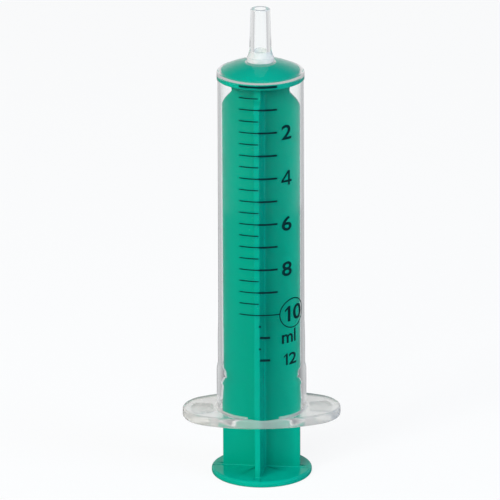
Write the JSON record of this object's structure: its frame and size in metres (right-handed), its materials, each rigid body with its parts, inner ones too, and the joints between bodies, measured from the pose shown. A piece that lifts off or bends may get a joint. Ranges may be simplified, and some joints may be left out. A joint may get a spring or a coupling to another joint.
{
  "type": "luer slip syringe",
  "caption": "Two-piece luer slip syringe: clear graduated barrel with nozzle and finger flange, and a solid ribbed plunger that slides in its bore.",
  "frame": {"origin": "centre of the thumb rest's underside, where the syringe stands", "axes": "+Z along the common axis towards the nozzle, X along the finger flange, volume scale on the -Y side"},
  "size_m": [0.0324, 0.0206, 0.099],
  "materials": {
    "clear_plastic": "clear moulded polypropylene, faintly milky, smooth gloss",
    "green_plastic": "opaque sea green polyethylene, satin gloss",
    "scale_ink": "black print of the volume scale, applied in the visual model"
  },
  "bodies": {
    "plunger": {"plunger": "green_plastic"},
    "barrel": {"barrel": "clear_plastic"}
  },
  "joints": [
    {"name": "plunger_draw", "type": "slide", "parent": "plunger", "child": "barrel", "axis": [0, 0, 1], "range_m": [0, 0.0615]}
  ]
}
